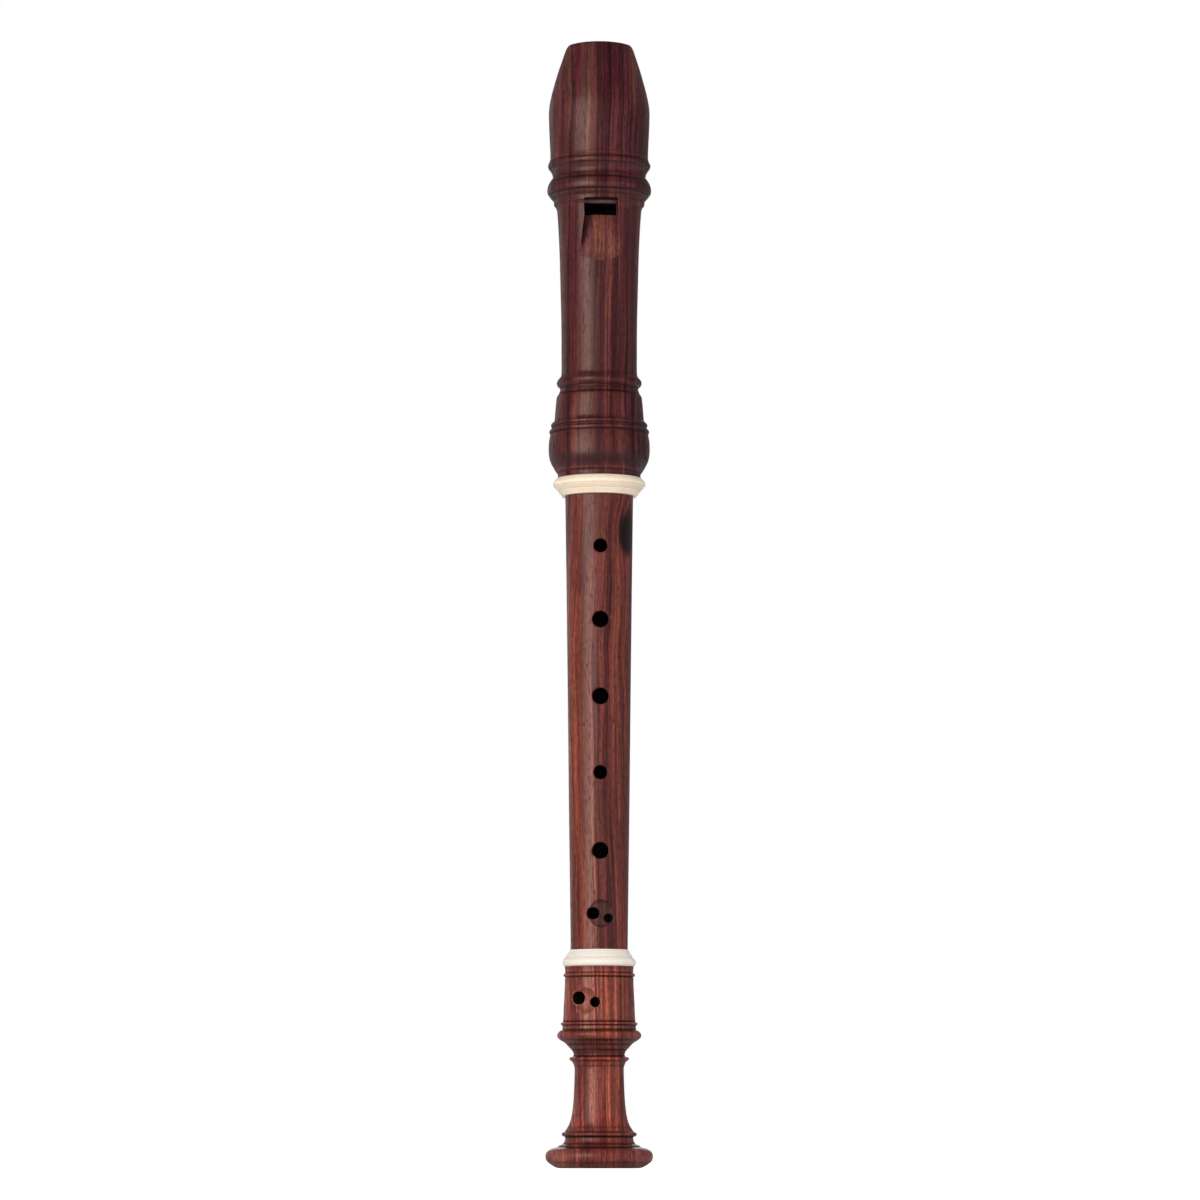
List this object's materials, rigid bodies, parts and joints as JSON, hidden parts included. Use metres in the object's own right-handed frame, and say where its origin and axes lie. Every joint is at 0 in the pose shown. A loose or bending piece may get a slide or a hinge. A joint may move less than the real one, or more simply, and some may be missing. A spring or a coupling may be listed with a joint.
{
  "type": "soprano recorder",
  "caption": "Upright three-part wooden soprano recorder with beaked head, window and ramp, turned beads, pale rings, finger holes and a flared foot; head slides off and foot turns.",
  "frame": {"origin": "centre of the foot's flat bottom face, which is the bottom of the bounding box", "axes": "+Z along the bore's axis from foot to mouthpiece, -Y towards the window and finger holes (the player's far side), +Y towards the thumb hole, +X to the right when the finger holes are viewed"},
  "size_m": [0.0308, 0.0308, 0.33],
  "materials": {
    "head_wood": "dark oiled rosewood, satin",
    "middle_wood": "oiled rosewood, satin, straight grain along the bore",
    "foot_wood": "warm red-brown oiled rosewood, satin",
    "imitation_ivory": "polished cream resin",
    "tenon_cork": "natural cork, matte, lightly greased",
    "cedar_block": "bare pencil cedar, matte"
  },
  "bodies": {
    "middle": {"middle_joint": "middle_wood", "upper_tenon_cork": "tenon_cork", "lower_tenon_cork": "tenon_cork"},
    "head": {"head_joint": "head_wood", "head_ring": "imitation_ivory", "block": "cedar_block"},
    "foot": {"foot_joint": "foot_wood", "foot_ring": "imitation_ivory"}
  },
  "joints": [
    {"name": "head_slide", "type": "slide", "parent": "middle", "child": "head", "axis": [0, 0, 1], "range_m": [0, 0.03]},
    {"name": "foot_turn", "type": "hinge", "parent": "middle", "child": "foot", "pos_m": [0, 0, 0.058], "axis": [0, 0, 1], "continuous": true}
  ]
}
